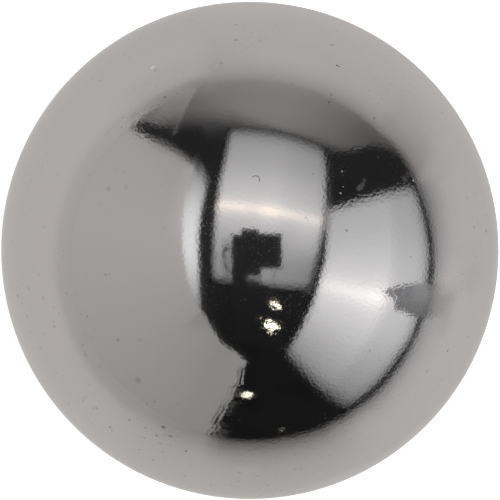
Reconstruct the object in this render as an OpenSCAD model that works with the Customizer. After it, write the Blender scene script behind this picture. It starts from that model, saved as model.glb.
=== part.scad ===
// Steel ball: one solid, ground and lapped true all round.
// Millimetres, +Z up, origin at the ball's centre.

/* [Ball] */
// Diameter of the ball
ball_d = 12.7; // [3:0.1:60]

/* [Hidden] */

// Polished steel's colour
steel_colour = [0.74, 0.74, 0.73];
// Facets round the ball where it is drawn as a mesh
ball_facets = 180;

// The ball has no flat, bore or parting line: every point of its skin
// lies half a diameter from the centre.
module ball() {
    color(steel_colour)
        sphere(d = ball_d, $fn = ball_facets);
}

ball();
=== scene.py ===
import math

import bpy
import numpy as np
from mathutils import Matrix, Vector


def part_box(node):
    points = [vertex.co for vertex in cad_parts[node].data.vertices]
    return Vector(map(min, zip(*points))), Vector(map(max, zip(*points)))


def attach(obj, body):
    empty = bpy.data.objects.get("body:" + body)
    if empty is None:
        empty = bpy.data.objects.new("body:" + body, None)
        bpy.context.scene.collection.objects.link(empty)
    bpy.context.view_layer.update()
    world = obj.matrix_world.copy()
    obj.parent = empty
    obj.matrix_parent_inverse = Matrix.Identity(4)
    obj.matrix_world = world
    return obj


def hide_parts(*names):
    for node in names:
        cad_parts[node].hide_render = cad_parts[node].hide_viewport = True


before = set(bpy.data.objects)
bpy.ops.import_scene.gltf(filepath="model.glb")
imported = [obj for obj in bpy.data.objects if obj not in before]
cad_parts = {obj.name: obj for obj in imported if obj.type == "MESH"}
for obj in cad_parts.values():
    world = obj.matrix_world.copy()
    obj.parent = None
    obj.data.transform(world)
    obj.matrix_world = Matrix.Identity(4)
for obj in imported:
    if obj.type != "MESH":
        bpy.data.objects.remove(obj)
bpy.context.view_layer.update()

bl_info = {
    "name": "Polished Steel Ball",
    "version": (1, 0, 0),
    "blender": (4, 5, 0),
    "location": "3D View > Sidebar > Steel Ball",
    "description": "Makes a polished steel ball and the small studio that it mirrors",
    "category": "Object",
}

MM = 0.001
MICRON = 0.000001
CAD_NODE = "ball"
CAD_BODY = "root"
CAD_LOW, CAD_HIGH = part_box(CAD_NODE)
BALL_DIAMETER = CAD_HIGH.z - CAD_LOW.z

# The room is laid out in millimetres from the ball's centre: +X to the right, +Y to the back, +Z up.
BALL_CENTRE = (0.0, 0.0, 0.0)
TO_RIGHT = (1.0, 0.0, 0.0)
TO_BACK = (0.0, 1.0, 0.0)
UP = (0.0, 0.0, 1.0)
FLOOR_LEVEL = -BALL_DIAMETER / 2 / MM


# ---- Properties ----


class SteelBallProperties(bpy.types.PropertyGroup):
    """Size and finish of the polished ball"""

    diameter: bpy.props.FloatProperty(
        name="Diameter",
        description="Diameter of the ball",
        default=BALL_DIAMETER,
        min=0.001,
        unit="LENGTH",
        precision=4,
    )
    face_steps: bpy.props.IntProperty(
        name="Face Steps",
        description="Quads along one side of each of the six patches that make the ball",
        default=128,
        min=8,
        max=128,
    )
    steel_colour: bpy.props.FloatVectorProperty(
        name="Steel Colour",
        description="Colour of the bare polished steel seen straight on",
        default=(0.56, 0.55, 0.548),
        subtype="COLOR",
        min=0.0,
        max=1.0,
    )
    polish_roughness: bpy.props.FloatProperty(
        name="Polish Roughness",
        description="Roughness of the polished steel, where 0 is a perfect mirror",
        default=0.07,
        min=0.0,
        max=1.0,
        subtype="FACTOR",
    )
    edge_tint: bpy.props.FloatProperty(
        name="Edge Tint",
        description="How bright the steel's mirror image stays towards the ball's rim",
        default=0.975,
        min=0.0,
        max=1.0,
        subtype="FACTOR",
    )
    ripple_width: bpy.props.FloatProperty(
        name="Ripple Width",
        description="Distance from crest to crest of the fine ripple that lapping leaves",
        default=85 * MICRON,
        min=MICRON,
        unit="LENGTH",
        precision=6,
    )
    ripple_height: bpy.props.FloatProperty(
        name="Ripple Height",
        description="Full height of the fine ripple",
        default=0.8 * MICRON,
        min=0.0,
        unit="LENGTH",
        precision=6,
    )
    pit_width: bpy.props.FloatProperty(
        name="Pit Width",
        description="Width of the tiny pits in the steel",
        default=24 * MICRON,
        min=MICRON,
        unit="LENGTH",
        precision=6,
    )
    pit_depth: bpy.props.FloatProperty(
        name="Pit Depth",
        description="Depth of the tiny pits in the steel",
        default=0.7 * MICRON,
        min=0.0,
        unit="LENGTH",
        precision=6,
    )
    dust_colour: bpy.props.FloatVectorProperty(
        name="Dust Colour",
        description="Colour of the specks of dust",
        default=(0.046, 0.044, 0.042),
        subtype="COLOR",
        min=0.0,
        max=1.0,
    )
    dust_sheen: bpy.props.FloatProperty(
        name="Dust Sheen",
        description="How much the dust shines, where 0.5 is a common plastic",
        default=0.1,
        min=0.0,
        max=1.0,
        subtype="FACTOR",
    )
    dust_size: bpy.props.FloatProperty(
        name="Dust Size",
        description="Radius of the largest specks of the fine dust",
        default=16 * MICRON,
        min=0.0,
        unit="LENGTH",
        precision=6,
    )
    dust_gap: bpy.props.FloatProperty(
        name="Dust Gap",
        description="Width of the cells that each hold one possible speck of fine dust",
        default=190 * MICRON,
        min=MICRON,
        unit="LENGTH",
        precision=6,
    )


class BallStudioProperties(bpy.types.PropertyGroup):
    """Camera, light and floor round the ball"""

    camera_distance: bpy.props.FloatProperty(
        name="Camera Distance",
        description="Distance from the camera to the centre of the ball",
        default=0.38,
        min=0.05,
        unit="LENGTH",
    )
    camera_lean: bpy.props.FloatProperty(
        name="Camera Lean",
        description="How far the camera leans to the back from straight above the ball",
        default=math.radians(6.0),
        subtype="ANGLE",
    )
    camera_lens: bpy.props.FloatProperty(
        name="Camera Lens",
        description="Focal length in millimetres on a sensor 36 mm wide",
        default=1071.4,
        min=1.0,
        subtype="DISTANCE_CAMERA",
    )
    floor_colour: bpy.props.FloatVectorProperty(
        name="Floor Colour",
        description="Colour of the pale floor",
        default=(0.75, 0.745, 0.74),
        subtype="COLOR",
        min=0.0,
        max=1.0,
    )
    floor_lift: bpy.props.FloatProperty(
        name="Floor Lift",
        description="Light added to the floor as it is seen, so that it comes out white",
        default=0.55,
        min=0.0,
    )
    room_fill: bpy.props.FloatProperty(
        name="Room Fill",
        description="Soft light that comes from all round the room",
        default=0.45,
        min=0.0,
    )
    lamp_glow: bpy.props.FloatProperty(
        name="Lamp Glow",
        description="Brightness of the faces of the two soft lamps, where 1 is white",
        default=2.0,
        min=0.0,
    )
    sheet_tone: bpy.props.FloatProperty(
        name="Sheet Tone",
        description="Brightness of the pale sheet round the ball, where 1 is white",
        default=0.71,
        min=0.0,
        max=1.0,
    )
    dark_tone: bpy.props.FloatProperty(
        name="Dark Tone",
        description="Brightness of the unlit room behind the cards",
        default=0.02,
        min=0.0,
        max=1.0,
    )


# ---- Shader arithmetic ----


def math_step(operation, swapped=False):
    """A method that adds the Math node for an operation of a Value and another term."""
    def method(self, other):
        terms = (other, self) if swapped else (self, other)
        return self._math(operation, *terms)
    return method


class Value:
    """One number socket of a node tree, which takes part in Python arithmetic.

    Each operation adds a Math node, so that 1 - mask or tone * fade build the
    nodes that work them out.
    """

    def __init__(self, shader, socket):
        self.shader = shader
        self.socket = socket

    def _math(self, operation, *terms, clamp=False):
        settings = {"operation": operation, "use_clamp": clamp}
        return self.shader.node("ShaderNodeMath", settings, dict(enumerate(terms)))

    __add__ = __radd__ = math_step("ADD")
    __sub__ = math_step("SUBTRACT")
    __rsub__ = math_step("SUBTRACT", swapped=True)
    __mul__ = __rmul__ = math_step("MULTIPLY")
    __truediv__ = math_step("DIVIDE")
    __rtruediv__ = math_step("DIVIDE", swapped=True)
    __pow__ = math_step("POWER")
    larger = math_step("MAXIMUM")
    above = math_step("GREATER_THAN")

    def __abs__(self):
        return self._math("ABSOLUTE", self)

    def clamped(self):
        return self._math("ADD", self, 0.0, clamp=True)

    def turned_from(self, across):
        """Degrees from the across axis towards this one, from -180 to 180."""
        return self._math("ARCTAN2", self, across) * math.degrees(1.0)

    def rise(self, start, end):
        """0 before start, 1 after end, with a smooth step between; end may be the smaller."""
        sockets = {"Value": self, "From Min": start, "From Max": end}
        return self.shader.node("ShaderNodeMapRange", {"interpolation_type": "SMOOTHSTEP"}, sockets)

    def band(self, low, high, soft):
        """1 from low to high and 0 outside, each side a step as wide as soft."""
        half = soft / 2
        return self.rise(low - half, low + half) * self.rise(high + half, high - half)

    def below(self, limit, soft):
        """1 below a limit that may be a Value, 0 above it, through a step as wide as soft."""
        return ((self - limit) / soft).rise(0.5, -0.5)

    def profile(self, stops):
        """A smooth curve through stops, which give a height for each place from low to high."""
        first, last = min(stops), max(stops)
        low, high = min(stops.values()), max(stops.values())
        length, rise = last - first, high - low
        curve = [((place - first) / length, (stops[place] - low) / rise) for place in stops]
        sockets = {"Value": (self - first) / length}
        return self.shader.node("ShaderNodeFloatCurve", {"curve": curve}, sockets) * rise + low

    def peak(self, centre, half_width):
        """A bell with long tails: 1 at centre and a half at half_width from it."""
        away = (self - centre) / half_width
        return 1.0 / (1.0 + away * away)


class Shader:
    """The node tree of one material or of the world."""

    def __init__(self, owner):
        owner.use_nodes = True
        self.tree = owner.node_tree
        self.tree.nodes.clear()

    def node(self, kind, settings=None, sockets=None, output=0):
        """Adds a node: its settings first, then the value or link of each socket."""
        made = self.tree.nodes.new(kind)
        for name, value in (settings or {}).items():
            if name == "curve":
                self._lay_curve(made.mapping, value)
            else:
                setattr(made, name, value)
        for name, value in (sockets or {}).items():
            if isinstance(value, Value):
                self.tree.links.new(value.socket, made.inputs[name])
            else:
                made.inputs[name].default_value = value
        if not made.outputs:
            return None
        return Value(self, made.outputs[output])

    @staticmethod
    def _lay_curve(mapping, points):
        """Lays a curve through points, never beyond their heights, and level outside them."""
        curve = mapping.curves[0]
        for _ in points[2:]:
            curve.points.new(0.5, 0.5)
        for point, place in zip(curve.points, points):
            point.location = place
            point.handle_type = "AUTO_CLAMPED"
        mapping.extend = "HORIZONTAL"
        mapping.update()

    def place(self):
        """Object coordinates, in metres."""
        return self.node("ShaderNodeTexCoord", output="Object")

    def vector_math(self, operation, first, second, output=0):
        settings = {"operation": operation}
        return self.node("ShaderNodeVectorMath", settings, {0: first, 1: second}, output)

    def along(self, centre, direction):
        """Millimetres from centre along a direction."""
        away = self.vector_math("SUBTRACT", self.place(), [c * MM for c in centre])
        return self.vector_math("DOT_PRODUCT", away, list(direction), output="Value") / MM

    def away_from(self, centre):
        """Millimetres from centre in any direction."""
        return self.vector_math("DISTANCE", self.place(), [c * MM for c in centre], "Value") / MM

    def mix_colour(self, share, first, second):
        """The first colour of three numbers where share is 0, and the second where it is 1."""
        sockets = {0: share, 6: opaque(first), 7: opaque(second)}
        return self.node("ShaderNodeMix", {"data_type": "RGBA"}, sockets, output=2)

    def noise(self, width, detail=2.0):
        """Cloudy noise from 0 to 1 whose blotches are about as wide as width, in metres."""
        sockets = {"Vector": self.place(), "Scale": 1.0 / width, "Detail": detail}
        return self.node("ShaderNodeTexNoise", None, sockets)

    def mix_shader(self, share, first, second):
        return self.node("ShaderNodeMixShader", None, {0: share, 1: first, 2: second})

    def dim(self, colour, brightness):
        """A colour of three numbers or a Value, times a brightness that may vary."""
        sockets = {0: colour, "Scale": brightness}
        return self.node("ShaderNodeVectorMath", {"operation": "SCALE"}, sockets)

    def glow(self, colour):
        return self.node("ShaderNodeEmission", None, {"Color": colour, "Strength": 1.0})

    def surface(self, shader):
        self.node("ShaderNodeOutputMaterial", None, {"Surface": shader})


def opaque(colour):
    """A colour of three numbers with the fourth that a colour socket asks for."""
    return (*colour, 1.0)


# ---- Surfaces ----


def mesh_object(name, points, faces, smooth=False):
    """A mesh object at the origin from arrays of points in metres and of faces."""
    mesh = bpy.data.meshes.new(name)
    mesh.from_pydata(points, [], faces)
    mesh.validate()
    mesh.polygons.foreach_set("use_smooth", np.full(len(mesh.polygons), smooth))
    mesh.update()
    made = bpy.data.objects.new(name, mesh)
    bpy.context.scene.collection.objects.link(made)
    return made


def grid_faces(rows, columns):
    """The quads of a grid of rows x columns points, numbered row by row."""
    corner = np.arange(rows * columns).reshape(rows, columns)
    ring = (corner[:-1, :-1], corner[:-1, 1:], corner[1:, 1:], corner[1:, :-1])
    return np.stack(ring, axis=-1).reshape(-1, 4)


def ball_surface(radius, steps):
    """Points and faces of a sphere made of six equal patches.

    On the patch that faces +Z the two parameters are the angles s and t, each
    from -45 to 45 degrees, and the point is (tan s, tan t, 1) brought to length
    1 and multiplied by the radius. The other five patches are this one turned
    to face along each of the other axes. The points that the patches share
    along their edges are merged, so the surface is closed and has no pole.
    """
    angle = np.linspace(-math.pi / 4, math.pi / 4, steps + 1)
    across, along = np.meshgrid(np.tan(angle), np.tan(angle))
    patch = np.stack([across, along, np.ones_like(across)], axis=-1)
    patch = patch / np.linalg.norm(patch, axis=-1, keepdims=True)
    x, y, z = patch[..., 0], patch[..., 1], patch[..., 2]
    patches = [(x, y, z), (z, x, y), (y, z, x), (y, x, -z), (-z, y, x), (x, -z, y)]
    points = np.stack([np.stack(turned, axis=-1) for turned in patches])
    count = (steps + 1) ** 2
    start = count * np.arange(len(patches))[:, None, None]
    faces = grid_faces(steps + 1, steps + 1)[None] + start
    flat = points.reshape(-1, 3)
    same_within = 1e-6
    _, first, place = np.unique(
        np.round(flat / same_within).astype(np.int64), axis=0, return_index=True, return_inverse=True
    )
    return flat[first] * radius, place.reshape(-1)[faces.reshape(-1, 4)]


def ruled_surface(left_edge, right_edge, columns=2):
    """Points and faces of the surface swept by a straight line between two edges.

    With s from 0 at the left edge to 1 at the right one, and t counting the
    edges' points from the lowest, the point is (1 - s) left(t) + s right(t).
    """
    left = np.asarray(left_edge, float)[:, None, :]
    right = np.asarray(right_edge, float)[:, None, :]
    share = np.linspace(0.0, 1.0, columns)[None, :, None]
    points = (1.0 - share) * left + share * right
    return points.reshape(-1, 3), grid_faces(left.shape[0], columns)


# ---- The ball ----

# Specks of dust: longitude from +X and latitude in degrees, radius in microns, cover.
DUST_SPECKS = [
    (-179.1, 56.1, 28, 0.25), (-179.0, 55.1, 34, 0.3), (-171.0, 19.9, 33, 0.6), (-162.6, 35.2, 28, 0.4),
    (-158.2, 15.8, 28, 0.4), (-152.5, 53.8, 40, 0.35), (-148.5, 59.2, 40, 0.2),
    (-135.6, 51.5, 62, 0.35), (-130.4, 30.4, 28, 0.7), (-129.5, 29.9, 22, 0.6), (-128.0, 38.8, 31, 0.5),
    (-122.9, 40.1, 23, 0.6), (-121.3, 36.0, 23, 0.5), (-120.5, 29.7, 23, 0.6), (-118.9, 39.6, 38, 0.5),
    (-118.5, 43.8, 46, 0.7), (-117.6, 20.1, 25, 0.4), (-115.9, 28.1, 30, 0.5), (-115.2, 41.9, 46, 0.55),
    (-114.8, 34.3, 36, 0.2), (-109.0, 38.6, 30, 0.8), (-99.8, 23.7, 30, 0.4), (-87.8, 31.8, 34, 0.3),
    (-33.4, 55.3, 28, 0.4), (-31.0, 34.5, 36, 0.25), (-23.9, 30.4, 36, 0.6), (-19.5, 22.6, 30, 0.35),
    (6.7, 17.9, 42, 0.5), (8.7, 25.1, 30, 0.45), (16.5, 25.2, 30, 0.3), (24.5, 65.1, 30, 0.6),
    (30.2, 44.6, 75, 0.6), (30.9, 43.1, 66, 0.45), (37.1, 15.5, 26, 0.4), (37.7, 56.3, 70, 0.85),
    (37.8, 56.9, 60, 0.85), (38.0, 55.4, 58, 0.7), (38.7, 54.4, 46, 0.6), (43.8, 71.4, 22, 0.25),
    (45.8, 71.4, 30, 0.3), (50.3, 39.4, 28, 0.5), (57.8, 62.0, 25, 0.3), (64.6, 42.8, 30, 0.7),
    (65.0, 40.3, 31, 0.5), (65.7, 30.0, 24, 0.8), (66.4, 30.0, 30, 0.9), (69.2, 22.4, 34, 0.45),
    (77.1, 41.4, 40, 0.2), (93.4, 19.5, 30, 0.35), (93.6, 26.8, 36, 0.5), (98.0, 35.1, 45, 0.25),
    (115.9, 30.4, 46, 0.22), (116.4, 40.6, 30, 0.6), (145.7, 53.5, 42, 0.22), (149.8, 49.5, 44, 0.3),
    (151.3, 67.2, 30, 0.2), (169.5, 33.6, 32, 0.2),
]

# Dents: longitude and latitude in degrees, radius and depth in microns.
DENTS = [
    (116.5, 28.9, 62, 9.0), (41.5, 47.2, 26, 2.6), (47.8, 57.1, 30, 3.8), (41.6, 61.3, 30, 3.2),
    (28.3, 42.4, 32, 6.0), (42.9, 59.7, 20, 2.0),
]

# Patches where the ripple is rougher: centre and reach in millimetres, and how much rougher.
ROUGH_PATCHES = [
    ((-2.7, 3.6, 4.5), 1.0, 1.2), ((3.1, 2.0, 5.2), 2.0, 1.3), ((3.5, -0.5, 5.3), 0.9, 0.2),
    ((0.6, -1.1, 6.2), 0.8, 0.6), ((-0.7, -3.6, 5.2), 1.8, -0.6), ((-0.25, -2.7, 5.7), 0.9, -0.4),
]

# Patches of finer polish: centre and reach in millimetres, and the share of roughness gone.
SMOOTH_PATCHES = [
    ((-0.7, -3.6, 5.2), 1.8, 0.45), ((0.6, -1.1, 6.2), 0.8, 0.45), ((-0.25, -2.7, 5.7), 0.9, 0.4),
]

# A dried drop's ring, and a fibre that is the half of a ring towards FIBRE_SIDE: longitude and
# latitude of the ring's middle in degrees, its radius and half width in microns, cover.
DROP_RING = (99.7, 36.0, 140, 34, 0.12)
FIBRE = (86.6, 67.7, 100, 13, 0.75)
FIBRE_SIDE = (0.5, 0.8, 0.2)

# A pale flake: longitude and latitude in degrees, radius in microns, cover.
PALE_FLAKE = (116.3, 29.0, 84, 0.8)
FLAKE_COLOUR = (0.68, 0.67, 0.66)

# Widths in microns of the bumps of ragged edges, and of the clusters of dust and pits.
DUST_EDGE_WIDTH = 40
FLAKE_EDGE_WIDTH = 50
DUST_CLUSTER_WIDTH = 1800
PIT_CLUSTER_WIDTH = 1100

# The directions towards the dustiest and the most rippled side of the ball.
DUSTY_SIDE = (-0.62, -0.78, 0.0)
RIPPLED_SIDE = (0.6, -0.8, 0.0)

# How much wider the faint dust lies than the fine dust, and how much larger its specks are.
FAINT_DUST_GAP = 1.7
FAINT_DUST_SIZE = 4.4

# How quickly dust that grows thicker hides the steel, as a power.
DUST_HIDING = 1.3


def on_ball(ball, longitude, latitude):
    """The place in millimetres at a longitude from +X and a latitude, both in degrees."""
    turn, lift = math.radians(longitude), math.radians(latitude)
    level = math.cos(lift)
    direction = Vector((level * math.cos(turn), level * math.sin(turn), math.sin(lift)))
    return direction * (ball.diameter / 2 / MM)


def from_mark(shader, ball, longitude, latitude):
    """Microns from the mark at a longitude and a latitude."""
    return shader.away_from(on_ball(ball, longitude, latitude)) * (MM / MICRON)


def from_speck(shader, gap):
    """Microns from the nearest of the scattered specks, which stand about gap metres apart."""
    cells = {"Vector": shader.place(), "Scale": 1.0 / gap}
    return shader.node("ShaderNodeTexVoronoi", None, cells, "Distance") * (gap / MICRON)


def ring_cover(shader, ball, ragged, longitude, latitude, size, half_width, share):
    """How much a thin ring covers; it fades out at half_width from a circle of radius size."""
    away = abs(from_mark(shader, ball, longitude, latitude) - size) + ragged * 0.3
    return away.below(half_width, half_width) * share


def dust_cover(shader, ball):
    """How much of the steel is under fine dust, specks, the fibre and the drop's ring."""
    ragged = (shader.noise(DUST_EDGE_WIDTH * MICRON, 1.0) - 0.5) * DUST_EDGE_WIDTH
    clustered = shader.noise(DUST_CLUSTER_WIDTH * MICRON)
    largest = clustered.profile({0.3: 0.25, 0.45: 0.5, 0.55: 0.75, 0.7: 1.0})
    full_size = ball.dust_size / MICRON
    height = shader.along(BALL_CENTRE, UP)
    low_down = height.rise(6.1, 4.6) * 0.6 + 0.4
    away = from_speck(shader, ball.dust_gap) + ragged * 0.3
    cover = away.below(largest * low_down * full_size, 5.0)
    away = from_speck(shader, FAINT_DUST_GAP * ball.dust_gap) + ragged * 0.8
    faint_size = FAINT_DUST_SIZE * full_size
    faint = away.below(largest * height.rise(4.9, 4.2) * faint_size, 45.0)
    dusty = shader.along(BALL_CENTRE, DUSTY_SIDE).rise(1.0, 4.4) * 0.18 + 0.1
    cover = cover.larger(faint * height.rise(5.0, 4.3) * dusty)
    for longitude, latitude, size, share in DUST_SPECKS:
        away = from_mark(shader, ball, longitude, latitude) + ragged * share
        soft = size * (1.6 - share)
        cover = cover.larger(away.below(0.7 * size + 0.5 * soft, soft) * share)
    fibre = ring_cover(shader, ball, ragged, *FIBRE)
    fibre = fibre * shader.along(on_ball(ball, *FIBRE[:2]), FIBRE_SIDE).above(0.0)
    return cover.larger(ring_cover(shader, ball, ragged, *DROP_RING)).larger(fibre)


def flake_cover(shader, ball):
    """How much of the ball the pale flake covers."""
    longitude, latitude, size, share = PALE_FLAKE
    ragged = shader.noise(FLAKE_EDGE_WIDTH * MICRON, 1.0) - 0.5
    return (from_mark(shader, ball, longitude, latitude) + ragged * 70).below(size, 60) * share


def steel_height(shader, ball):
    """The fine relief of the steel in microns: the lapping ripple, the pits and the dents."""
    rippled = shader.along(BALL_CENTRE, RIPPLED_SIDE).rise(0.3, 3.4)
    ripple = shader.noise(ball.ripple_width, 1.0) * (1.0 + 1.2 * rippled)
    for centre, reach, more in ROUGH_PATCHES:
        ripple = ripple * (1.0 + more * shader.away_from(centre).rise(reach, 0.4 * reach))
    pits = shader.noise(ball.pit_width, 0.0).rise(0.77, 0.88)
    pits = pits * shader.noise(PIT_CLUSTER_WIDTH * MICRON, 1.0).rise(0.42, 0.62)
    height = ripple * (ball.ripple_height / MICRON) - pits * (ball.pit_depth / MICRON)
    for longitude, latitude, size, depth in DENTS:
        height = height - from_mark(shader, ball, longitude, latitude).rise(size, 0.0) * depth
    return height


def steel_finish(ball):
    """Polished steel with a fine lapping ripple, pits and dents, matt where dust covers it."""
    material = bpy.data.materials.new("polished_steel_ball")
    shader = Shader(material)
    relief = {"Strength": 1.0, "Distance": MICRON, "Height": steel_height(shader, ball)}
    unpolished = 1.0
    for centre, reach, less in SMOOTH_PATCHES:
        unpolished = unpolished * (1.0 - less * shader.away_from(centre).rise(reach, 0.4 * reach))
    steel = shader.node(
        "ShaderNodeBsdfPrincipled",
        None,
        {
            "Base Color": opaque(ball.steel_colour),
            "Metallic": 1.0,
            "Roughness": ball.polish_roughness * unpolished,
            "Specular Tint": (ball.edge_tint, ball.edge_tint, ball.edge_tint, 1.0),
            "Normal": shader.node("ShaderNodeBump", None, relief),
        },
    )
    flake = flake_cover(shader, ball)
    dust = shader.node(
        "ShaderNodeBsdfPrincipled",
        None,
        {
            "Base Color": shader.mix_colour(flake, ball.dust_colour, FLAKE_COLOUR),
            "Roughness": 0.8,
            "Specular IOR Level": ball.dust_sheen,
        },
    )
    cover = dust_cover(shader, ball).larger(flake) ** DUST_HIDING
    shader.surface(shader.mix_shader(cover, steel, dust))
    return material


class STEELBALL_OT_make_ball(bpy.types.Operator):
    """Make the polished ball in place of the plain one"""

    bl_idname = "steelball.make_ball"
    bl_label = "Make Polished Ball"
    bl_options = {"REGISTER", "UNDO"}

    def execute(self, context):
        ball = context.scene.steel_ball
        points, faces = ball_surface(ball.diameter / 2, ball.face_steps)
        piece = mesh_object("polished_ball", points, faces, smooth=True)
        piece.data.materials.append(steel_finish(ball))
        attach(piece, CAD_BODY)
        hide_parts(CAD_NODE)
        return {"FINISHED"}


# ---- The studio ----


class Wall:
    """A flat place in the room: its centre in millimetres, and its directions across and up."""

    def __init__(self, centre, across, up):
        self.centre = np.asarray(centre, float)
        self.across = np.asarray(across, float)
        self.up = np.asarray(up, float)

    def points(self, pairs):
        """Room points, in metres, of pairs (across, up) in millimetres."""
        pairs = np.asarray(pairs, float)
        places = self.centre + pairs[:, :1] * self.across + pairs[:, 1:] * self.up
        return places * MM

    def readings(self, shader):
        """The across and up readings, in millimetres, as shader values."""
        return shader.along(self.centre, self.across), shader.along(self.centre, self.up)


# The places of the cards.
OVERHEAD = Wall((103.3, 245.6, 477.1), (0.9916, -0.126, 0.0288), (0.127, 0.9089, -0.3973))
RIGHT = Wall((351.9, -113.2, 242.3), (0.3307, 0.9437, -0.0013), (-0.2572, 0.0915, 0.962))
LEFT = Wall((-400.0, 0.0, 0.0), TO_BACK, UP)
FAR_LEFT = Wall((-404.0, 0.0, 0.0), TO_BACK, UP)
FRONT = Wall((0.0, -400.0, 0.0), TO_RIGHT, UP)
BACK = Wall((0.0, 400.0, 0.0), TO_RIGHT, UP)
FAR_BACK = Wall((0.0, 402.0, 0.0), TO_RIGHT, UP)
FLOOR = Wall((0.0, 0.0, FLOOR_LEVEL), TO_RIGHT, TO_BACK)

# Millimetres from the ball to the card with the camera's shape, half the width of the floor that
# is seen, and the radius of the dark room with the quads along one side of its patches.
CAMERA_CARD_DISTANCE = 372.4
FLOOR_HALF_WIDTH = 2500.0
ROOM_RADIUS = 1500.0
ROOM_STEPS = 12

# How far the grey cone stands out on the way from the ball to the right softbox, as a share.
CONE_SHARE = 0.97

# The camera: sensor width in millimetres, image shift in image widths, and seen range in metres.
SENSOR_WIDTH = 36.0
IMAGE_SHIFT = (0.00016, 0.00078)
NEAREST_SEEN = 0.01
FARTHEST_SEEN = 10.0

# The faces of the two soft lamps: width and height in millimetres.
OVERHEAD_LAMP_SIZE = (500, 690)
RIGHT_LAMP_SIZE = (750, 500)

# Colours of light as red, green and blue, and the brightness of the camera's dark shape.
WHITE = (1.0, 1.0, 1.0)
SOFTBOX_TINT = (1.0, 1.0, 1.018)
WARM_TINT = (1.14, 1.0, 0.86)
SHEET_TINT = (1.038, 1.0, 0.986)
WARM_SHEET_TINT = (1.045, 1.0, 0.966)
COOL_SHEET_TINT = (1.005, 1.0, 0.982)
CARD_TINT = (1.01, 1.0, 0.98)
LAMP_TINT = (1.12, 1.05, 0.82)
PATCH_TINT = (1.048, 1.0, 0.992)
SHADOW_TINT = (1.0, 1.0, 1.032)
CAMERA_TONE = 0.026


def oblong(left, right, low, high):
    """The left and right edges of an upright rectangle, each as (across, up) pairs."""
    return [(left, low), (left, high)], [(right, low), (right, high)]


def mirrored_piece(name, material_name, surface, smooth=False):
    """Adds a piece of the room that only mirror images show, and returns its empty shader."""
    piece = mesh_object(name, *surface, smooth)
    material = bpy.data.materials.new(material_name)
    shader = Shader(material)
    piece.data.materials.append(material)
    piece.visible_camera = False
    piece.visible_diffuse = False
    piece.visible_transmission = False
    piece.visible_volume_scatter = False
    piece.visible_shadow = False
    return shader


def card(name, wall, edges, paint):
    """A glowing card that the ball mirrors, between two edges given as (across, up) pairs.

    paint(shader, across, up) gives its colour, its brightness, and how much of it covers
    what is behind it, which is None for a card with clean edges.
    """
    left_edge, right_edge = (wall.points(edge) for edge in edges)
    shader = mirrored_piece(name, name, ruled_surface(left_edge, right_edge))
    colour, brightness, cover = paint(shader, *wall.readings(shader))
    glow = shader.glow(shader.dim(colour, brightness))
    if cover is not None:
        clear = shader.node("ShaderNodeBsdfTransparent")
        glow = shader.mix_shader(cover, clear, glow)
    shader.surface(glow)


def overhead_paint(shader, across, up):
    """The overhead softbox: a warm streak of its lamp, soft edges, and its spill on the right."""
    body = up.profile({
        -420: 0.47, -330: 0.48, -220: 0.61, -160: 0.71, -100: 0.83, -60: 0.9, 0: 0.93, 50: 0.88,
        80: 0.84, 110: 0.79, 140: 0.74, 200: 0.65, 260: 0.595, 320: 0.51, 360: 0.44, 410: 0.4,
    })
    body = body * across.profile({
        -300: 0.97, -200: 0.98, -100: 1.0, 0: 1.01, 40: 0.97, 120: 0.93, 200: 0.88, 240: 0.8, 300: 0.75,
    })
    body = body + 0.09 * across.rise(60, 190) * up.band(-190, -30, 90)
    streak = up.peak(-30, 22) * across.profile({
        -300: 0.6, -140: 0.6, -90: 0.53, -50: 0.68, -20: 0.76, 20: 0.66, 60: 0.54, 120: 0.46, 200: 0.42,
        300: 0.35,
    })
    right_side = across + 0.045 * up
    left_lean = up.profile({-40: 0, 10: 3, 60: 1, 140: 3, 200: 5, 260: 4, 330: -1, 400: -6})
    edges = (across - left_lean).rise(-266, -222) * right_side.rise(276, 228)
    edges = edges * up.rise(-428, -340) * up.profile({
        -420: 1.0, 290: 1.0, 335: 0.93, 350: 0.86, 360: 0.79, 370: 0.67, 380: 0.54, 390: 0.43,
        400: 0.35, 412: 0.33,
    })
    spill = right_side.band(240, 330, 60) * up.profile({
        -420: 0.07, -337: 0.12, -260: 0.145, -200: 0.17, -140: 0.21, -100: 0.27, -60: 0.37, 0: 0.4,
        30: 0.36, 60: 0.16, 90: 0.07, 150: 0.04, 410: 0.03,
    })
    brightness = ((body + streak) * edges).larger(spill)
    warmth = (streak / 0.9).clamped()
    return shader.mix_colour(warmth, SOFTBOX_TINT, WARM_TINT), brightness, None


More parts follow.
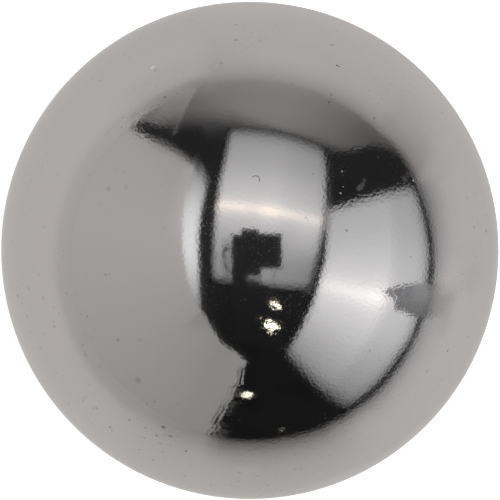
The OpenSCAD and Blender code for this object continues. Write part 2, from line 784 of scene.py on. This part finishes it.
def right_paint(shader, across, up):
    """The right softbox: its lamp's streak in the middle, a sagging foot and a curved top."""
    body = across.profile({
        -392: 0.0, -378: 0.06, -356: 0.215, -332: 0.36, -300: 0.51, -240: 0.64, -180: 0.78, -120: 0.94,
        -60: 1.06, 0: 1.11, 60: 1.05, 120: 0.96, 180: 0.86, 240: 0.785, 300: 0.74, 325: 0.7, 340: 0.62,
        352: 0.5, 364: 0.4, 376: 0.23, 388: 0.0,
    })
    streak = across.peak(2, 29) * up.profile({
        -262: 0.0, -140: 0.05, -90: 0.35, -40: 0.66, 0: 0.56, 60: 0.48, 180: 0.36, 250: 0.2,
    })
    over_top = up - across.profile({-390: 0, -90: 0, 0: 6, 110: 10, 180: 22, 300: 34, 390: 36})
    sag = across.profile({
        -390: -2, -328: 2, -229: 4, -150: 6, -80: -2, -14: 3, 51: 2, 120: -3, 220: -2, 300: -4, 330: -7,
        390: -5,
    })
    height = (up - sag).profile({
        -268: 0.0, -260: 0.12, -251: 0.33, -240: 0.53, -228: 0.67, -208: 0.79, -180: 0.85, -120: 0.88,
        -90: 0.93, -60: 1.0, 60: 1.0,
    })
    height = height * over_top.profile({180: 1.0, 202: 0.95, 216: 0.82, 228: 0.5, 238: 0.15, 246: 0.0})
    brightness = (body + streak) * height
    warmth = (streak * 0.35).clamped()
    return shader.mix_colour(warmth, SOFTBOX_TINT, WARM_TINT), brightness, None


def left_sheet_paint(shader, across, up):
    """The pale sheet on the left, which fades out upwards and towards the back. Its glow is painted
    light, which varies across it and is brighter high up near the left softbox.
    """
    tone = across.profile({
        -400: 0.51, -300: 0.53, -200: 0.55, -100: 0.58, 0: 0.605, 100: 0.62, 200: 0.615, 300: 0.6,
        400: 0.58, 500: 0.56, 800: 0.5,
    })
    near_light = up.rise(420, 640) * across.rise(60, 260) * 0.1
    top = across.profile({
        -400: 940, -330: 862, -200: 780, -100: 728, 0: 692, 100: 658, 200: 634, 300: 612, 400: 606,
        500: 612, 800: 618,
    })
    side = up.profile({
        -7: 416, 48: 428, 93: 443, 138: 459, 177: 477, 223: 500, 273: 525, 328: 556, 384: 583, 459: 617,
        550: 646, 663: 682, 760: 722, 960: 728,
    })
    soft = up.profile({-7: 48, 100: 52, 170: 75, 260: 100, 960: 100})
    cover = up.below(top, 44) * ((across - side) / soft).profile({
        -0.85: 1.0, -0.55: 0.96, -0.35: 0.88, -0.18: 0.8, 0: 0.55, 0.15: 0.32, 0.3: 0.18, 0.45: 0.09,
        0.6: 0.03, 0.75: 0,
    })
    colour = shader.mix_colour(across.rise(-180, -380), SHEET_TINT, COOL_SHEET_TINT)
    return colour, tone + near_light, cover


def front_sheet_paint(shader, across, up):
    """The pale sheet in front, whose wavy right edge is made of several sheets. Its glow is painted
    light, and the dark bands along the sheets' edges are painted shade.
    """
    tone = across.profile({-400: 0.51, -330: 0.495, -260: 0.48, -190: 0.455, -120: 0.43, 0: 0.46})
    fall = up.profile({-20: 0.97, 200: 1.0, 480: 1.0, 700: 0.88, 960: 0.75})
    edge = up.profile({
        -7: -74, 5: -73, 32: -66, 49: -71, 75: -69, 90: -66, 117: -60, 146: -58, 176: -48, 226: -44,
        248: -23, 291: -21, 339: -18, 390: 0, 420: 60,
    })
    wavy = shader.noise(14 * MM) - 0.5
    inside = edge - across + wavy * 8
    # Painted shade: the sheet darkens towards its wavy edge, along the edges of the sheets under it, and
    # near its foot.
    edge_shade = inside.profile({0: 0.8, 6: 0.85, 14: 0.95, 24: 0.96, 46: 1.0})
    shade_lines = 0.9 * inside.band(7, 12, 3) + 0.6 * inside.band(17, 21, 3)
    shade_lines = shade_lines + 0.7 * inside.band(5, 13, 3) * up.band(240, 335, 16)
    edge_shade = edge_shade * (1.0 - 0.35 * inside.below(6, 4) * up.below(60, 20))
    edge_shade = edge_shade * (1.0 - shade_lines.clamped() * up.profile({
        -7: 1.0, 120: 1.0, 150: 0.3, 215: 0.3, 240: 1.0, 330: 1.0, 350: 0.0,
    }))
    outer = inside.peak(-10, 2.5) * 0.2 * up.band(95, 132, 20)
    beside = up.rise(36, 16) * 0.4 + up.band(38, 60, 8) * 0.12
    beside = beside + up.band(134, 162, 10) * 0.2 + up.band(184, 226, 12) * 0.22
    mottled = shader.noise(6 * MM).rise(0.35, 0.65) * 1.3 + 0.3
    outer = outer + inside.profile({-30: 0.0, -22: 0.35, -12: 0.8, -3: 1.0}) * beside * mottled
    cover = inside.rise(-2, 2).larger(outer)
    return COOL_SHEET_TINT, tone * fall * edge_shade, cover


def left_softbox_paint(shader, across, up):
    """The strip of a softbox that shows above the sheet on the left, dimmer at its ends."""
    tone = across.profile({
        -400: 0.42, -300: 0.54, -200: 0.74, -100: 0.93, 0: 1.12, 100: 1.24, 200: 1.24, 300: 1.18,
        400: 1.05, 500: 0.86, 600: 0.72, 700: 0.41, 740: 0.3, 770: 0.23, 800: 0.14, 840: 0.03,
    })
    tone = tone * (1.0 - 0.62 * across.rise(640, 700) * up.rise(760, 620))
    lifted = up - across.profile({-400: 35, -50: 32, 120: 8, 300: 0, 420: 10, 600: 30, 770: 40})
    edges = lifted.profile({
        560: 0.75, 640: 0.85, 700: 0.97, 780: 1.0, 840: 0.93, 880: 0.72, 910: 0.34, 930: 0.12, 960: 0.0,
    })
    return SOFTBOX_TINT, tone * edges, None


def back_card_paint(shader, across, up):
    """The grey card at the back, cut off along the overhead softbox's foot and on the left. Its glow is
    painted light, brightest low down near the middle and dimmer upwards and to each side.
    """
    tone = across.profile({
        -200: 0.17, -130: 0.25, -60: 0.312, 10: 0.34, 80: 0.345, 150: 0.32, 220: 0.275, 290: 0.23,
        345: 0.186, 420: 0.143, 500: 0.11, 640: 0.05,
    })
    fall = up.profile({
        -40: 1.35, -20: 1.25, 0: 1.13, 20: 1.06, 60: 1.0, 120: 0.99, 140: 0.96, 160: 0.92, 180: 0.84,
        190: 0.72, 200: 0.58, 210: 0.5, 300: 0.45,
    })
    top = across.profile({
        -200: 68, -150: 92, -130: 103, -110: 119, -60: 151, 10: 184, 80: 197, 150: 207, 220: 216,
        290: 226, 345: 200, 385: 163, 417: 122, 440: 78, 500: 30, 570: -12, 640: -40,
    })
    soft = across.profile({
        -200: 120, -130: 172, -110: 176, -60: 160, 10: 108, 80: 60, 150: 36, 220: 40, 290: 68, 345: 68,
        385: 64, 417: 64, 440: 92, 500: 80, 640: 60,
    })
    softbox_edge = (up - 0.091 * across).below(193, 6).larger(across.below(-70, 6))
    softbox_edge = softbox_edge.larger(1.0 - across.below(292, 6))
    left_side = 1.0 - (across + 0.75 * up).below(-130, 36)
    fall = fall * (1.0 + 0.14 * across.rise(-50, -120) * up.rise(45, 10))
    trail = 0.18 * up.below(222, 60) * across.rise(-165, -130) * across.rise(0, -40)
    return CARD_TINT, tone * fall, up.below(top, soft).larger(trail) * softbox_edge * left_side


def back_patch_paint(shader, across, up):
    """The grey cloth at the back left, with a crease in painted shade, a pale line and a sheet at its
    foot. Its glow is painted light, brighter towards its foot.
    """
    tone = across.profile({-420: 0.12, -385: 0.17, -340: 0.22, -270: 0.31, -200: 0.345, -130: 0.36})
    top = across.profile({
        -430: -20, -385: -6, -345: 10, -325: 22, -308: 48, -270: 86, -200: 112, -150: 128, -100: 135,
    })
    uneven = shader.noise(11 * MM) - 0.5
    top = top + 130 * uneven * across.rise(-215, -290)
    soft = across.profile({-430: 12, -385: 14, -340: 26, -270: 100, -200: 130, -100: 140})
    body = tone * up.profile({-40: 1.3, 0: 1.13, 20: 1.02, 50: 0.9, 100: 0.78, 170: 0.7})
    from_line = (across + 0.72 * up).peak(-137, 6)
    line = from_line * up.profile({-40: 0.03, 60: 0.08, 140: 0.1, 170: 0.0})
    seen_line = from_line * up.profile({60: 0.0, 100: 0.5, 130: 0.5, 165: 0.0})
    # Painted shade along the crease of the cloth.
    fold_shade = across.profile({
        -340: -2, -315: 7, -295: 14, -269: 2, -244: -16, -223: -26, -205: -32, -180: -36,
    })
    fold_shade = (up - fold_shade).peak(0, 10) * across.profile({
        -350: 0.1, -310: 0.24, -270: 0.3, -220: 0.22, -190: 0.05, -175: 0.0,
    })
    sheet_top = across.profile({-430: -2, -379: 1, -335: -2, -293: -14, -249: -40, -226: -60})
    sheet = up.below(sheet_top, 20)
    tone = ((body + line) * (1.0 - sheet) + 0.46 * sheet) * (1.0 - fold_shade)
    thinner = 1.0 - 0.42 * (across + 0.72 * up).rise(-137, -125)
    return PATCH_TINT, tone, (up.below(top, soft) * thinner).larger(sheet).larger(seen_line)


def make_softboxes():
    """The three softboxes: overhead, to the right and far to the left."""
    overhead_edges = [(-268, -430), (-268, 410)], [(340, -430), (262, 410)]
    card("overhead_softbox", OVERHEAD, overhead_edges, overhead_paint)
    right_edges = [(-392, -268), (-392, 250)], [(388, -268), (388, 290)]
    card("right_softbox", RIGHT, right_edges, right_paint)
    left_edges = [(-400, 560), (-400, 995)], [(800, 560), (860, 995)]
    card("left_softbox", FAR_LEFT, left_edges, left_softbox_paint)


def make_sheets():
    """The upright sheets and cards: on the left, in front and at the back."""
    left_edges = (
        [(-400, FLOOR_LEVEL), (-400, 200), (-400, 420), (-400, 640), (-400, 960)],
        [(460, FLOOR_LEVEL), (540, 185), (645, 410), (770, 625), (830, 860)],
    )
    card("left_sheet", LEFT, left_edges, left_sheet_paint)
    front_edges = (
        [(-400, FLOOR_LEVEL), (-400, 100), (-400, 160), (-400, 240), (-400, 375), (-400, 440),
         (-400, 520), (-400, 945)],
        [(-12, FLOOR_LEVEL), (-12, 100), (-12, 160), (-12, 240), (-12, 380), (-60, 442),
         (-140, 520), (-398, 945)],
    )
    card("front_sheet", FRONT, front_edges, front_sheet_paint)
    card("back_card", BACK, oblong(-400, 640, -40, 280), back_card_paint)
    card("back_patch", FAR_BACK, oblong(-430, -60, -40, 210), back_patch_paint)


def camera_paint(shader, across, up):
    """The shadow of a camera on its stand, with its strap, a cable and the plate that it sits on."""
    shape = across.band(-54, 33, 5) * up.band(-75, 47, 8)
    shape = shape.larger(across.band(-27, 25, 6) * up.band(0, 63, 12))
    shape = shape.larger(across.band(20, 96, 4) * up.band(-54, 50, 10))
    shape = shape.larger(across.band(-54, -8, 5) * up.band(-350, -60, 4))
    plate_top = -86 - 0.5 * (across - 8).larger(0.0)
    shape = shape.larger(across.band(-20, 84, 10) * up.below(plate_top, 15) * 0.9)
    strap = up.profile({-75: -48, -68: -54, -59: -66, -40: -75, -23: -79.5, -5: -78, 6: -70, 14: -58})
    thin = abs(across - strap).below(3.0, 3.4) * up.band(-75, 14, 4)
    knot = abs(across + 70).below(10, 8) * abs(up - 4).below(7, 8) * 0.9
    bar = across.band(-20, 34, 12) * up.band(-92, -70, 8) * 0.45
    cable = abs(across - 74).below(1.5, 2.5) * up.band(-130, -50, 6) * 0.5
    # Painted shade: a soft dark haze beside the strap.
    haze = across.band(-82, -48, 14) * up.band(-100, 34, 40) * 0.28
    cover = shape.larger(bar).larger(thin).larger(knot).larger(cable).larger(haze)
    tone = CAMERA_TONE * up.profile({-350: 0.6, -200: 0.72, -80: 0.9, -50: 1.0})
    return SHADOW_TINT, tone, cover


def lamp_paint(centre, half_length, half_width, slope, glow, grain=9):
    """A small bright lamp: a ragged ellipse whose long side rises by slope, with a faint skirt.

    The sizes and the grain of its ragged edge are in millimetres.
    """
    def paint(shader, across, up):
        x = across - centre[0]
        y = up - centre[1] - slope * x
        ragged = shader.noise(grain * MM) - 0.5
        away = (x / half_length) ** 2.0 + (y / half_width) ** 2.0 + ragged * 5.5
        core = away.below(1.0, 0.8)
        skirt = away.below(2.4, 3.2) * 0.05
        return LAMP_TINT, core * glow + 0.9, (core + skirt).clamped()
    return paint


def make_camera_shapes(back, image_up):
    """The camera's shadow, the four warm lamps beside it and the two in front."""
    wall = Wall(CAMERA_CARD_DISTANCE * back, TO_RIGHT, image_up)
    card("camera_shape", wall, oblong(-100, 110, -350, 75), camera_paint)
    for name, centre, half_length, half_width, slope, glow in (
        ("warm_lamp_upper", (80, -175), 17, 12, -0.5, 2.2),
        ("warm_lamp_lower", (76, -264), 22, 19, -0.3, 4.0),
        ("warm_lamp_spot", (77, -299), 6, 5, 0.0, 2.5),
        ("warm_lamp_side", (34, -226), 6, 5, 0.0, 0.1),
    ):
        x, y = centre
        reach = 3.2 * half_length
        edges = oblong(x - reach, x + reach, y - reach, y + reach)
        card(name, wall, edges, lamp_paint(centre, half_length, half_width, slope, glow))
    paint = lamp_paint((-9, 195), 16, 14, 0.0, 1.3, 5)
    card("warm_lamp_front", FRONT, oblong(-60, 50, 150, 240), paint)
    paint = lamp_paint((69, 20), 3, 2, 0.0, 0.05)
    card("faint_lamp_front", FRONT, oblong(55, 80, 10, 34), paint)


def cone_paint(shader, across, up):
    """A grey cone that stands before the right softbox, whose glow is painted light."""
    low = up.profile({
        -345: -40, -285: -36, -242: -27, -216: -25, -196: -25, -176: -20, -155: -18, -141: -22,
        -128: -8, -122: 4, -113: 12, -97: 14, -76: 16, -66: 19,
    })
    high = up.profile({
        -345: 54, -236: 54, -203: 53, -165: 50, -145: 46, -119: 41, -98: 36, -73: 26, -66: 22,
    })
    frayed = (shader.noise(9 * MM) - 0.5) * 12
    cover = (1.0 - (across + frayed).below(low, 8)) * (across + frayed).below(high, 8) * up.below(-68, 8)
    tone = up.profile({-345: 0.36, -250: 0.345, -200: 0.355, -150: 0.36, -66: 0.42})
    blotch = shader.noise(16 * MM).rise(0.6, 0.42)
    # Painted light and shade: the cone is darker along its side at low, lighter on its side at high, and
    # darker still towards its base on the low side.
    tone = tone * (1.0 - 0.4 * blotch * up.rise(-215, -150)) * (1.0 - 0.22 * across.below(low + 12, 12))
    tone = tone * (1.0 + 0.14 * across.rise(5, 30) - 0.16 * across.rise(18, 0) * up.rise(-175, -205))
    return SHADOW_TINT, tone, cover


def make_cone():
    """The grey cone, a little nearer to the ball than the right softbox."""
    wall = Wall(RIGHT.centre * CONE_SHARE, RIGHT.across, RIGHT.up)
    card("grey_cone", wall, oblong(-50, 60, -345, -60), cone_paint)


def satin_brightness(full, across, up, away, turn, from_border):
    """The satin sheet's brightness, which is full in open light and fades out past its border. It is all
    painted light and shade: the ball's shade round its foot, fading towards the front and past the
    border, patches of shade to the left and right, and lighter or darker by direction.
    """
    # Painted shade of the ball on the sheet, strongest near its foot.
    ball_shade = (-FLOOR_LEVEL / away) ** 2.5
    reach = from_border.profile({
        0: 1.0, 0.3: 0.99, 0.43: 0.955, 0.54: 0.89, 0.63: 0.81, 0.79: 0.67, 1.0: 0.48, 1.2: 0.33,
        1.46: 0.19, 1.71: 0.1, 2.3: 0.03, 3.0: 0.0,
    })
    to_front = (0.0 - up).profile({
        0: 1.0, 6: 0.98, 13: 0.95, 20: 0.93, 35: 0.87, 45: 0.82, 55: 0.78, 68: 0.72, 88: 0.69,
        125: 0.64, 160: 0.52, 250: 0.35, 400: 0.2,
    })
    in_front = (across + 0.42 * up).below(2, 8) * turn.rise(-135, -112)
    in_front = in_front * (1.0 - away.rise(130, 300) * turn.rise(-102, -112))
    front = 1.0 - in_front * (1.0 - to_front)
    # Painted light and shade by direction, away from the ball's foot.
    shades = turn.profile({
        -34: 1.0, -27: 0.96, -21: 0.82, -17: 0.82, -13: 1.02, -9: 1.12, -4: 1.05, 2: 1.0, 20: 0.98,
        30: 0.97, 40: 1.03, 46: 1.04, 52: 1.05, 62: 1.05, 80: 1.07, 90: 1.04, 100: 1.0, 108: 0.94,
        122: 0.94, 131: 0.97, 138: 1.0,
    })
    shades = 1.0 + (shades - 1.0) * away.rise(20, 36)
    # Painted shade in patches: far out to the left, at the back right and close by on the right.
    left = turn.profile({
        -180: 0.7, -165: 0.85, -150: 1.0, -140: 1.1, -133: 1.1, -125: 0.5, -117: 0.0, 128: 0.0,
        138: 0.6, 165: 0.6, 180: 0.7,
    })
    far_left_shade = 1.0 - 0.17 * left * away.rise(36, 72)
    back_right_shade = turn.profile({18: 0.0, 25: 1.0, 30: 1.0, 35: 0.9, 40: 1.0, 46: 0.2, 52: 0.0})
    back_right_shade = 1.0 - 0.1 * back_right_shade * away.rise(12, 30) * away.rise(66, 50)
    near_right_shade = turn.profile({-24: 0.0, -20: 0.4, -15: 0.5, -10: 1.0, -4: 0.4, 2: 0.0})
    near_right_shade = 1.0 - 0.08 * near_right_shade * away.rise(10, 20) * away.rise(46, 32)
    tone = full * (1.0 - 0.58 * ball_shade) * reach * front * shades * far_left_shade
    return tone * back_right_shade * near_right_shade


def satin_gloss(away, turn, from_border):
    """How much of its full gloss the satin sheet has in each place."""
    gloss = from_border.profile({0: 1.0, 1.0: 1.0, 1.3: 0.9, 1.5: 0.78, 1.9: 0.62, 3.0: 0.5, 5.0: 0.4})
    matt = turn.profile({
        -75: 0.0, -60: 0.1, -50: 0.6, -40: 0.4, -30: 0.2, -20: 0.12, -10: 0.45, 0: 0.2, 12: 0.0,
    })
    gloss = gloss * (1.0 - matt * away.rise(90, 150))
    gloss = gloss * turn.profile({100: 1.0, 120: 0.95, 132: 0.5, 150: 0.6, 172: 1.0, 180: 1.0})
    gloss = gloss * (1.0 - turn.rise(98, 108).larger(turn.rise(-135, -170)) * away.rise(115, 30))
    return gloss * (1.0 - 0.7 * abs(turn).rise(118, 134) * away.rise(120, 300))


def make_mirrored_floor(studio):
    """The pale satin sheet that the ball stands on, as the ball mirrors it. Its body glows with painted
    light and shade; its sheen mirrors the cards.
    """
    surface = ruled_surface(
        FLOOR.points([(-400, 420), (-85, 405), (-28, 402), (100, 330), (175, 215)]),
        FLOOR.points([(-400, -400), (-85, -400), (-28, -400), (100, -274), (175, -200)]),
    )
    shader = mirrored_piece("pale_sheet", "pale_satin_sheet", surface)
    across, up = FLOOR.readings(shader)
    away = shader.away_from(BALL_CENTRE)
    turn = up.turned_from(across)
    border = turn.profile({
        -95: 700, -80: 260, -70: 170, -60: 122, -50: 81, -40: 84, -30: 76, -24: 84, -20: 103, -16: 121,
        -12: 100, -9: 77, 0: 70, 10: 66, 15: 61, 20: 66, 25: 132, 30: 133, 35: 172, 40: 300, 46: 700,
    })
    from_border = away / border
    tone = satin_brightness(studio.sheet_tone, across, up, away, turn, from_border)
    warmth = turn.profile({
        -180: 1.0, -130: 1.0, -100: 0.95, -80: 0.9, -60: 0.3, 0: 0.25, 60: 0.1, 140: 0.25, 165: 0.8,
        180: 1.0,
    })
    tint = shader.mix_colour(warmth, SHEET_TINT, WARM_SHEET_TINT)
    body = shader.glow(shader.dim(tint, tone))
    sheen = shader.node(
        "ShaderNodeBsdfAnisotropic",
        {"distribution": "MULTI_GGX"},
        {"Color": opaque(WHITE), "Roughness": 0.18},
    )
    rim = shader.node("ShaderNodeFresnel", None, {"IOR": 1.45})
    gloss = satin_gloss(away, turn, from_border)
    shader.surface(shader.mix_shader(rim * gloss, body, sheen))


def make_dark_room(studio):
    """The unlit room behind the cards: a large ball that only mirror images show."""
    surface = ball_surface(ROOM_RADIUS * MM, ROOM_STEPS)
    shader = mirrored_piece("dark_room", "dark_room", surface, smooth=True)
    # Painted light: the unlit room glows faintly, unevenly and more towards the back.
    uneven = shader.noise(500 * MM, 1.0) * 0.5
    towards_back = shader.along(BALL_CENTRE, TO_BACK).rise(-1250, 250)
    tone = studio.dark_tone * (0.36 + 0.6 * towards_back + uneven)
    shader.surface(shader.glow(shader.dim(SHADOW_TINT, tone)))


def background_rays(shader):
    """1 for the rays that show the background: camera rays, and mirrored or refracted ones."""
    kinds = ("Is Camera Ray", "Is Glossy Ray", "Is Transmission Ray")
    camera, glossy, transmission = (
        shader.node("ShaderNodeLightPath", output=kind) for kind in kinds
    )
    return camera.larger(glossy).larger(transmission)


def make_floor(studio):
    """The pale floor as the camera sees it, which no mirror image shows."""
    half = FLOOR_HALF_WIDTH
    left_edge, right_edge = (FLOOR.points(edge) for edge in oblong(-half, half, -half, half))
    piece = mesh_object("floor", *ruled_surface(left_edge, right_edge))
    material = bpy.data.materials.new("pale_floor")
    shader = Shader(material)
    body = shader.node(
        "ShaderNodeBsdfPrincipled",
        None,
        {
            "Base Color": opaque(studio.floor_colour),
            "Roughness": 0.6,
            "Emission Color": shader.dim(WHITE, studio.floor_lift * background_rays(shader)),
            "Emission Strength": 1.0,
        },
    )
    shader.surface(body)
    piece.data.materials.append(material)
    piece.visible_glossy = False


def make_world(studio):
    """A white background, which lights the room at the strength of the soft fill."""
    world = bpy.data.worlds.new("studio_room")
    bpy.context.scene.world = world
    shader = Shader(world)
    seen = background_rays(shader)
    strength = seen + (1.0 - seen) * studio.room_fill
    background = shader.node(
        "ShaderNodeBackground", None, {"Color": opaque(WHITE), "Strength": strength}
    )
    shader.node("ShaderNodeOutputWorld", None, {"Surface": background})


def make_lamp(name, wall, size, glow):
    """A soft rectangular lamp at a wall's centre that faces the ball."""
    lamp = bpy.data.lights.new(name, "AREA")
    lamp.shape = "RECTANGLE"
    width, height = size
    lamp.size = width * MM
    lamp.size_y = height * MM
    lamp.energy = glow * math.pi * lamp.size * lamp.size_y
    holder = bpy.data.objects.new(name, lamp)
    facing = Vector(wall.centre).normalized()
    turn = facing.to_track_quat("Z", "Y").to_matrix().to_4x4()
    holder.matrix_world = Matrix.Translation(Vector(wall.centre) * MM) @ turn
    holder.visible_glossy = False
    holder.visible_camera = False
    bpy.context.scene.collection.objects.link(holder)


def camera_axes(studio):
    """The direction from the ball to the camera, and the image's up direction."""
    lean = studio.camera_lean
    back = np.array([0.0, math.sin(lean), math.cos(lean)])
    image_up = np.array([0.0, math.cos(lean), -math.sin(lean)])
    return back, image_up


def make_camera(studio):
    """The camera, which looks at the ball's centre."""
    back, image_up = camera_axes(studio)
    lens = bpy.data.cameras.new("studio_camera")
    lens.sensor_width = SENSOR_WIDTH
    lens.lens = studio.camera_lens
    lens.shift_x, lens.shift_y = IMAGE_SHIFT
    lens.clip_start, lens.clip_end = NEAREST_SEEN, FARTHEST_SEEN
    camera = bpy.data.objects.new("studio_camera", lens)
    axes = np.eye(4)
    axes[:3, 1] = image_up
    axes[:3, 2] = back
    axes[:3, 3] = back * studio.camera_distance
    camera.matrix_world = Matrix(axes.tolist())
    bpy.context.scene.collection.objects.link(camera)
    bpy.context.scene.camera = camera


class STEELBALL_OT_make_studio(bpy.types.Operator):
    """Make the floor, the lamps, the cards that the ball mirrors, and the camera"""

    bl_idname = "steelball.make_studio"
    bl_label = "Make Studio"
    bl_options = {"REGISTER", "UNDO"}

    def execute(self, context):
        studio = context.scene.ball_studio
        make_world(studio)
        make_floor(studio)
        make_dark_room(studio)
        make_mirrored_floor(studio)
        make_sheets()
        make_softboxes()
        make_cone()
        make_camera_shapes(*camera_axes(studio))
        make_lamp("overhead_lamp", OVERHEAD, OVERHEAD_LAMP_SIZE, studio.lamp_glow)
        make_lamp("right_lamp", RIGHT, RIGHT_LAMP_SIZE, studio.lamp_glow)
        make_camera(studio)
        context.scene.view_settings.view_transform = "Standard"
        return {"FINISHED"}


class STEELBALL_PT_panel(bpy.types.Panel):
    """The sidebar panel of the steel ball"""

    bl_idname = "STEELBALL_PT_panel"
    bl_label = "Polished Steel Ball"
    bl_space_type = "VIEW_3D"
    bl_region_type = "UI"
    bl_category = "Steel Ball"

    def draw(self, context):
        layout = self.layout
        for settings, operator in (
            (context.scene.steel_ball, STEELBALL_OT_make_ball),
            (context.scene.ball_studio, STEELBALL_OT_make_studio),
        ):
            box = layout.box()
            for name in settings.__annotations__:
                box.prop(settings, name)
            box.operator(operator.bl_idname)


CLASSES = (
    SteelBallProperties,
    BallStudioProperties,
    STEELBALL_OT_make_ball,
    STEELBALL_OT_make_studio,
    STEELBALL_PT_panel,
)


def register():
    for kind in CLASSES:
        bpy.utils.register_class(kind)
    bpy.types.Scene.steel_ball = bpy.props.PointerProperty(type=SteelBallProperties)
    bpy.types.Scene.ball_studio = bpy.props.PointerProperty(type=BallStudioProperties)


def unregister():
    del bpy.types.Scene.ball_studio
    del bpy.types.Scene.steel_ball
    for kind in reversed(CLASSES):
        bpy.utils.unregister_class(kind)


def main():
    """Makes the ball and the studio."""
    register()
    bpy.ops.steelball.make_ball()
    bpy.ops.steelball.make_studio()


if __name__ == "__main__":
    main()
